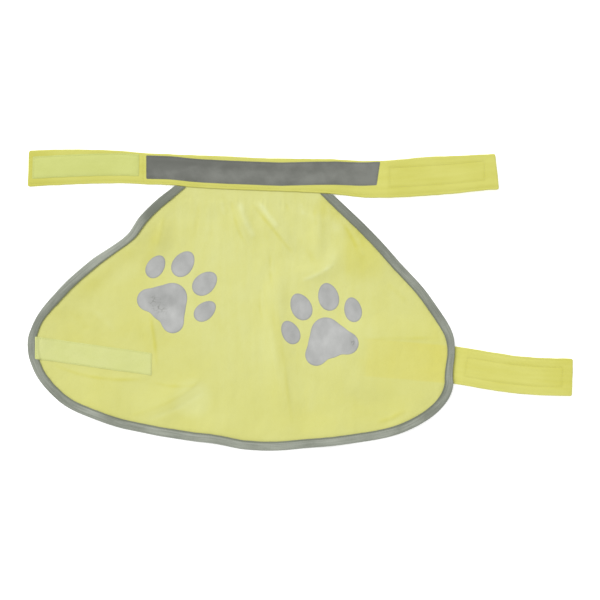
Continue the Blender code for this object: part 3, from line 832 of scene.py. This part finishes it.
def thread(name, red, green, blue):
    finish = Finish(name, Roughness=0.5, Sheen_Weight=0.2, Specular_IOR_Level=0.4)
    twist = finish.clouds((0.0004, 0.0004, 0.0004), 1.0)
    base = dyed(red, green, blue)
    dark = (*[part * 0.8 for part in base[:3]], 1.0)
    finish.wear(finish.mix((0.5 + twist * 2).between(0.0, 1.0), dark, base), twist)
    return finish


GREY_THREAD = thread("grey_thread", 132, 138, 118)
stitch_share = STITCH_INSET / BINDING_WIDTH
binding_seam = [outer.lerp(inner, stitch_share) for outer, inner in map(binding_at, stations)]
binding_stitches = [
    stitches("binding_stitches_upper", [binding_seam], binding_top, GREY_THREAD, "grey_reflective"),
    stitches("binding_stitches_under", [binding_seam], binding_top, GREY_THREAD, "grey_reflective", 1),
]


# The neck band: yellow tricot folded to two layers, with both neck straps in one length. It grips the
# panel's neck edge between its layers and is topstitched along its lower edge.

SEAM_STEP = 3.0 * MM


class Ribbon:
    """A strap or tape laid flat: a run goes along it and a depth across it, from its lower left corner."""

    def __init__(self, node):
        self.node = node
        self.tree, sides = seen_from_above(node)
        low, top = sorted(sides, key=lambda side: side[0].y)
        self.pairs = facing(low, top)
        self.middle = Path([a.lerp(b, 0.5) for a, b in self.pairs])
        self.length = self.middle.length
        self.width = sum((b - a).xy.length for a, b in self.pairs) / len(self.pairs)

    def place(self, run, depth):
        index, share = self.middle.stretch(run)
        before, after = self.pairs[index], self.pairs[index + 1]
        low, top = before[0].lerp(after[0], share), before[1].lerp(after[1], share)
        return low.lerp(top, depth / self.width)

    def box(self, inset):
        """A closed line this far in from its edges."""
        far, wide = self.length - inset, self.width - inset
        runs = [inset + run for run in evenly(round((far - inset) / SEAM_STEP), far - inset)]
        line = [self.place(run, inset) for run in runs]
        line += [self.place(run, wide) for run in reversed(runs)]
        return line + [line[0]]

    def row(self, depth):
        """A line along it at this depth."""
        return [self.place(run, depth) for run in evenly(round(self.length / SEAM_STEP), self.length)]


QUARTER_ROUND = (0.0, 0.134, 0.5, 1.0)  # how far in a rounded edge lies at even turns


def stops(length, spacing, rounding):
    """Places across a piece: close together over its rounded edges and even between them."""
    near = [rounding * share for share in QUARTER_ROUND]
    count = max(round((length - 2 * rounding) / spacing), 1)
    inner = [rounding + (length - 2 * rounding) * i / count for i in range(1, count)]
    return near + inner + [length - place for place in reversed(near)]


def cornered(ribbon, run, depth, radius):
    """A run and a depth, drawn in where they lie in a corner so that it becomes round."""
    along = max(1 - min(run, ribbon.length - run) / radius, 0.0)
    across = max(1 - min(depth, ribbon.width - depth) / radius, 0.0)
    back = radius * along * (1 - math.sqrt(1 - across**2 / 2))
    aside = radius * across * (1 - math.sqrt(1 - along**2 / 2))
    run += math.copysign(back, ribbon.length / 2 - run)
    depth += math.copysign(aside, ribbon.width / 2 - depth)
    return run, depth


class Strap:
    """How a strap or tape is made: its cells, how its edges are rounded over and its corners cut."""

    def __init__(self, cells, rounding, corner, uneven, softening):
        self.cells, self.rounding, self.corner = cells, rounding, corner
        self.uneven, self.softening = uneven, softening

    def made(self, ribbon, upper, lower, relief, shaded=None):
        """Its closed mesh: a softened upper face with fine relief on it, down to its lower face."""

        def spot(run, depth):
            wander = noise.noise_vector(Vector((run * 95, depth * 95, 7.0))) * self.uneven
            place = ribbon.place(*cornered(ribbon, run, depth, self.corner)) + wander
            return at_height(place, upper(place))

        runs = stops(ribbon.length, self.cells[0], self.rounding)
        bm = laid(runs, stops(ribbon.width, self.cells[1], self.rounding), spot)
        soften(bm, self.softening)
        cloth, under = bm.verts.layers.float_vector["cloth"], bm.verts.layers.float["under"]
        tone = bm.verts.layers.float["tone"]
        for vert in bm.verts:
            run, depth, _ = vert[cloth]
            inset = max(min(run, ribbon.length - run, depth, ribbon.width - depth), 0.0)
            full = math.sqrt(1 - (1 - min(inset / self.rounding, 1.0)) ** 2)
            top, floor = vert.co.z + relief(vert.co, run, depth), lower(vert.co)
            middle, half = (top + floor) / 2, (top - floor) / 2
            vert.co.z = middle + half * full
            vert[under] = middle - half * full
            if shaded:
                uneven = 0.75 + noise.noise(vert.co * 70)
                vert[tone] = -uneven * math.exp(-((shaded.nearest(vert.co)[0] / SEAM_SHADE) ** 2))
        return backed(bm)


STRAP = Strap((1.8 * MM, 1.1 * MM), rounding=0.9 * MM, corner=2.4 * MM, uneven=0.35 * MM, softening=4)
SEAM_ROW = 3.0 * MM
TAPE_SEAM = 1.3 * MM
HOOK_SEAM = 1.6 * MM
STRAP_JOIN = -172.5 * MM  # a seam across the band, between its loop tape and its reflective strip
DIP = 0.26 * MM
DIP_REACH = 2.2 * MM
SEAM_SHADE = 1.5 * MM
PUCKER = 0.12 * MM
PUCKER_FADE = 5 * MM


def dipped(lines, spot):
    """What a row of stitches draws a cloth down by at a place, with the small puckers beside it."""
    distance, _ = lines.nearest(spot)
    dip = -DIP * (1 - (distance / DIP_REACH) ** 2) ** 2 if distance < DIP_REACH else 0.0
    pucker = ripple(spot.x * 210, spot.y * 210, 4.0) * PUCKER
    return dip + pucker * math.exp(-distance / PUCKER_FADE)


band = Ribbon("neck_band")
strip = Ribbon("reflective_strip")
neck_loop = Ribbon("neck_loop_tape")
neck_hook = Ribbon("neck_hook_tape")
hook_box = neck_hook.box(HOOK_SEAM)
join_run = STRAP_JOIN - band.middle.points[0].x
strap_join = [band.place(join_run, band.width * share) for share in (0.06, 0.35, 0.65, 0.94)]
band_rows = [band.row(SEAM_ROW), hook_box, strap_join]
band_seams = Lines(band_rows + [strip.box(TAPE_SEAM), neck_loop.box(TAPE_SEAM)])

STRAP_DROP = 0.1 * MM  # how far inside its solid a strap's upper face lies


def just_inside(ribbon):
    """The heights of a strap's upper and lower face at a place."""
    return (
        lambda place: top_of(place, ribbon.tree) - STRAP_DROP,
        lambda place: under_of(place, ribbon.tree) + STRAP_DROP / 2,
    )


def band_relief(place, run, depth):
    wave = 0.25 * MM * ripple(run * 34, depth * 24, 2.0)
    lengthwise = 0.10 * MM * ripple(run * 22, depth * 420, 6.0)
    return wave + lengthwise + dipped(band_seams, place)


def double_tricot(name, deep, pale, deeper_end):
    finish = Finish(name, Roughness=0.68, Sheen_Weight=0.15, Specular_IOR_Level=0.25)
    streaks = finish.cloud(finish.along((0.055, 0.006, 1.0)), 3.0)
    patches = finish.clouds((0.035, 0.030, 0.03), 3.0, centre=(0.1, 0.3, 0))
    grain = finish.clouds((0.0011, 0.0016, 0.002))
    light = 0.60 + streaks * 0.55 + patches * 0.45 + grain * 0.14 + finish.tone() * 0.15
    # the cloth is painted deeper towards the strap's end
    light = light - finish.oval(*deeper_end) * 0.25
    knit = knitted(finish, finish.place(), TRICOT_PITCH)
    finish.wear(finish.mix(light, dyed(*deep), dyed(*pale)), knit + grain * 2)
    return finish


LEFT_END = (-300, 144, 50, 50)
BAND_CLOTH = double_tricot("yellow_band_tricot", (200, 197, 78), (220, 219, 121), LEFT_END)
bm = STRAP.made(band, *just_inside(band), band_relief, Lines(band_rows))
neck_band = piece("neck_band_cloth", bm, BAND_CLOTH, "yellow_double", "neck_band")
neck_band_tree = tree_of(neck_band)
YELLOW_THREAD = thread("yellow_thread", 219, 216, 116)
band_stitches = stitches("neck_band_stitches", band_rows, neck_band_tree, YELLOW_THREAD, "yellow_double")


# The reflective strip: grey glass-bead tape, 25 mm wide, laid on the middle of the neck band and sewn
# down close to its edges all round.

TAPE = Strap((1.8 * MM, 1.3 * MM), rounding=0.8 * MM, corner=1.0 * MM, uneven=0.15 * MM, softening=2)
TAPE_DIP = 0.3  # a tape is drawn down by this share of what a strap is
TAPE_CLEAR = 0.02 * MM
BRIDGED = 1.8 * MM  # how far round itself a stiff tape looks for what lifts it
LOOKS = evenly(8, 2 * math.pi)[1:]
ROUND_ABOUT = [Matrix.Rotation(angle, 3, "Z") @ Vector((BRIDGED, 0, 0)) for angle in LOOKS]


def tape_on(name, ribbon, kind, carriers, thick, finish, slot, nap=0.0):
    """A tape laid on cloth: it follows what carries it and is drawn down along its stitches."""
    seams = Lines([ribbon.box(TAPE_SEAM)])

    def upper(place):
        carried = top_of(place, *carriers)
        if len(carriers) > 1:
            carried = max(carried, *[top_of(place + step, *carriers) for step in ROUND_ABOUT])
        return carried + thick

    def relief(place, run, depth):
        wave = 0.12 * MM * ripple(run * 60, depth * 60, 8.0)
        return wave + nap * noise.noise(place * 1400) + TAPE_DIP * dipped(seams, place)

    def lower(place):
        return top_of(place, *carriers) + TAPE_CLEAR

    bm = kind.made(ribbon, upper, lower, relief, Lines([ribbon.box(0.0)]))
    made = piece(name, bm, finish, slot, ribbon.node)
    return made, tree_of(made)


def glass_bead_tape():
    finish = Finish("grey_glass_bead_tape", Specular_IOR_Level=0.45)
    patches = finish.clouds((0.022, 0.016, 0.02), 4.0)
    slants = finish.clouds((0.008, 0.030, 0.02), 2.0, turn=0.6)
    beads = finish.clouds((0.0005, 0.0005, 0.0005), 1.0)
    x, y = finish.parts(finish.place(centre=(-0.04, 0.135, 0), size=(0.13, 0.03, 1)))
    shaded = finish.oval(-130, 150, 32, 8.5, 0.28) * 0.40
    lit_end = finish.oval(73, 140, 20, 18) * 0.30
    light = 0.54 + patches * 1.5 + slants * 0.4 + beads * 0.5 + x * 0.16 - y * 0.45 - shaded + lit_end
    color = finish.mix(light.between(0.0, 1.0), dyed(96, 98, 91), dyed(122, 124, 117))
    finish.wear(color, beads, distance=0.03 * MM, roughness=0.5 + patches * 0.3)
    return finish


BEADED = glass_bead_tape()
STRIP_THICK = 0.45 * MM
GREY = "grey_reflective"
on_band = [neck_band_tree]
strip_tape, strip_tree = tape_on("reflective_strip_tape", strip, TAPE, on_band, STRIP_THICK, BEADED, GREY)
DARK_THREAD = thread("dark_grey_thread", 116, 119, 109)
strip_stitches = stitches("strip_stitches", [strip.box(TAPE_SEAM)], strip_tree, DARK_THREAD, GREY)


# The neck loop tape: pale woven tape with a soft looped nap, sewn in a box on top of the left neck
# strap. The right neck strap's hooks close on it.

LOOPED = Strap((0.75 * MM, 0.75 * MM), rounding=1.4 * MM, corner=1.2 * MM, uneven=0.25 * MM, softening=5)
NAP = 0.16 * MM


def loop_nap(name, deep, pale):
    finish = Finish(name, Roughness=0.9, Sheen_Weight=0.35, Sheen_Roughness=0.6, Specular_IOR_Level=0.15)
    patches = finish.clouds((0.030, 0.020, 0.02), 3.0)
    nap = finish.clouds((0.0009, 0.0009, 0.0009), 3.0)
    light = 0.55 + patches * 1.2 + nap * 0.7 + finish.tone() * 0.45
    finish.wear(finish.mix(light, dyed(*deep), dyed(*pale)), nap, distance=0.3 * MM)
    return finish


PALE_THREAD = thread("pale_thread", 216, 221, 134)


def loop_tape(name, ribbon, thick, finish, carriers):
    """A loop tape in its place, with its box of stitches."""
    tape, tree = tape_on(name + "_cloth", ribbon, LOOPED, carriers, thick, finish, "loop_pale", NAP)
    sewn = stitches(name + "_stitches", [ribbon.box(TAPE_SEAM)], tree, PALE_THREAD, "loop_pale")


NECK_NAP = loop_nap("neck_loop_nap", (199, 205, 112), (210, 216, 130))
NECK_LOOP_THICK = 0.5 * MM
loop_tape("neck_loop", neck_loop, NECK_LOOP_THICK, NECK_NAP, on_band)


# The neck hook tape: sewn under the right neck strap with its hooks facing down, so that from above
# only its box of stitches shows.

WOVEN = Strap((3 * MM, 3 * MM), rounding=0.25 * MM, corner=0.5 * MM, uneven=0.0, softening=0)
HOOK_BASE = 0.55 * MM
HOOK_PITCH = 1.9 * MM
HOOK_MARGIN = 2.0 * MM  # bare all round
HOOK_SUNK = 0.05 * MM
HOOK_WIRE = 0.16 * MM
# The bends of a hook's wire, in millimetres
HOOK_BENDS = [(0.0, 0.0, -0.30), (0.06, 0.0, -0.22), (0.22, 0.0, -0.08), (0.16, 0.0, 0.12)]
HOOK_TIP = Vector((0.6, 0.6, 0.6))  # its end is this share as thick


def hook_shape():
    """One hook: a bent stem with four sides, standing down from the tape's back."""
    bm = bmesh.new()
    bmesh.ops.create_circle(bm, cap_ends=True, segments=4, radius=HOOK_WIRE)
    face = bm.faces[:][0]
    for bend in HOOK_BENDS:
        made = bmesh.ops.extrude_face_region(bm, geom=[face])["geom"]
        bm.faces.remove(face)
        face = next(item for item in made if isinstance(item, bmesh.types.BMFace))
        bmesh.ops.translate(bm, verts=face.verts, vec=Vector(bend) * MM)
    about = Matrix.Translation(-face.calc_center_median())
    bmesh.ops.scale(bm, verts=face.verts, vec=HOOK_TIP, space=about)
    return bm


def hooked_tape(name, ribbon):
    """A hook tape's woven back, under a strap, and its rows of hooks below it."""

    def upper(place):
        return top_of(place, ribbon.tree)

    def lower(place):
        return top_of(place, ribbon.tree) - HOOK_BASE

    def relief(place, run, depth):
        return 0.0

    bm = WOVEN.made(ribbon, upper, lower, relief)
    back = piece(name + "_back", bm, NYLON, "hook_yellow", ribbon.node)
    mesh = kept("hook", hook_shape())
    bm = bmesh.new()
    length, width = ribbon.length - 2 * HOOK_MARGIN, ribbon.width - 2 * HOOK_MARGIN
    rows = round(width / HOOK_PITCH)
    for number in range(round(length / HOOK_PITCH)):
        for row in range(rows + 1):
            run = HOOK_MARGIN + HOOK_PITCH * (number + 0.5 * (row % 2))
            place = ribbon.place(run, HOOK_MARGIN + width * row / rows)
            place.z = top_of(place, ribbon.tree) - HOOK_BASE + HOOK_SUNK
            known = len(bm.verts)
            bm.from_mesh(mesh)
            bm.verts.ensure_lookup_table()
            fresh = bm.verts[known:]
            turned = Matrix.Rotation(math.pi * ((number + row) % 2), 4, "Z")
            bmesh.ops.transform(bm, matrix=Matrix.Translation(place) @ turned, verts=fresh)
    bpy.data.meshes.remove(mesh)
    piece(name + "_hooks", bm, NYLON, "hook_yellow")


def hook_nylon():
    finish = Finish("yellow_hook_nylon", Roughness=0.4, Specular_IOR_Level=0.5)
    grain = finish.clouds((0.0012, 0.0012, 0.001))
    color = finish.mix((0.5 + grain * 1.5).between(0.0, 1.0), dyed(206, 202, 92), dyed(216, 213, 108))
    finish.wear(color, grain, distance=0.03 * MM)
    return finish


NYLON = hook_nylon()
hooked_tape("neck_hook", neck_hook)


# The belly strap: yellow tricot folded to two layers. It is sewn under the panel at the right and runs
# out past the binding, with a hook tape under its free end.

belly = Ribbon("belly_strap")
belly_hook = Ribbon("belly_hook_tape")
belly_box = belly_hook.box(HOOK_SEAM)
EDGE_ROW = 2.2 * MM
belly_seams = Lines([belly_box, belly.row(EDGE_ROW), belly.row(belly.width - EDGE_ROW)])
UNDER_PANEL = 150 * MM  # up to here the panel holds it flat
FREE_FROM = 190 * MM


def belly_relief(place, run, depth):
    out = ease((place.x - UNDER_PANEL) / (FREE_FROM - UNDER_PANEL))
    wave = 0.22 * MM * ripple(run * 30, depth * 26, 12.0)
    lengthwise = 0.16 * MM * ripple(run * 16, depth * 330, 16.0)
    return (wave + lengthwise) * out + dipped(belly_seams, place)


FREE_END = (300, -74, 45, 45)
BELLY_CLOTH = double_tricot("yellow_belly_tricot", (203, 199, 80), (223, 222, 127), FREE_END)
bm = STRAP.made(belly, *just_inside(belly), belly_relief, Lines([belly_box]))
belly_strap = piece("belly_strap_cloth", bm, BELLY_CLOTH, "yellow_double", "belly_strap")
belly_tree = tree_of(belly_strap)
belly_stitches = stitches("belly_strap_stitches", [belly_box], belly_tree, YELLOW_THREAD, "yellow_double")
hooked_tape("belly_hook", belly_hook)


# The belly loop tape: pale looped tape sewn in a box on top of the panel at its left tip, its outer end
# over the binding's inner edge. The belly strap's hooks close on it.

belly_loop = Ribbon("belly_loop_tape")
BELLY_LOOP_THICK = 0.45 * MM
BELLY_NAP = loop_nap("belly_loop_nap", (206, 211, 129), (216, 220, 148))
loop_tape("belly_loop", belly_loop, BELLY_LOOP_THICK, BELLY_NAP, [panel_tree, binding_top])


# The table: a plain white surface, lit evenly from all round and a little more from the upper left, with
# the camera straight above.

TABLE_SIZE = 8.0
TABLE_TOP = -0.3 * MM  # just under the lowest stitches
bm = bmesh.new()
bmesh.ops.create_grid(bm, x_segments=1, y_segments=1, size=TABLE_SIZE / 2)
bmesh.ops.translate(bm, verts=bm.verts, vec=(0.0, 0.0, TABLE_TOP))
white = Finish(
    "white_table",
    Base_Color=(0.9, 0.9, 0.9, 1.0),
    Roughness=0.9,
    Specular_IOR_Level=0.1,
    Emission_Color=(1.0, 1.0, 1.0, 1.0),
    Emission_Strength=0.4,
)
shown("table", kept("table", bm), white)

scene = bpy.context.scene
scene.view_settings.view_transform = "Standard"
ROUND_LIGHT = 0.80
world = bpy.data.worlds.new("studio")
world.use_nodes = True
background = world.node_tree.nodes["Background"]
background.inputs["Color"].default_value = (1.0, 1.0, 1.0, 1.0)
background.inputs["Strength"].default_value = ROUND_LIGHT
scene.world = world

KEY_STRENGTH = 2.2
KEY_SPREAD = math.radians(35)
KEY_WAY = Vector((0.62, -0.66, -1.0))  # which way its light goes
key = bpy.data.lights.new("key", "SUN")
key.energy = KEY_STRENGTH
key.angle = KEY_SPREAD
key_light = bpy.data.objects.new("key", key)
key_light.rotation_euler = KEY_WAY.to_track_quat("-Z", "Y").to_euler()
scene.collection.objects.link(key_light)

VIEW_WIDTH = 0.660  # what the picture is wide at the table
LENS, SENSOR = 100.0, 36.0
camera_data = bpy.data.cameras.new("camera")
camera_data.lens = LENS
camera_data.sensor_width = SENSOR
camera = bpy.data.objects.new("camera", camera_data)
camera.location = (0.0, 0.0, VIEW_WIDTH * LENS / SENSOR)
scene.collection.objects.link(camera)
scene.camera = camera
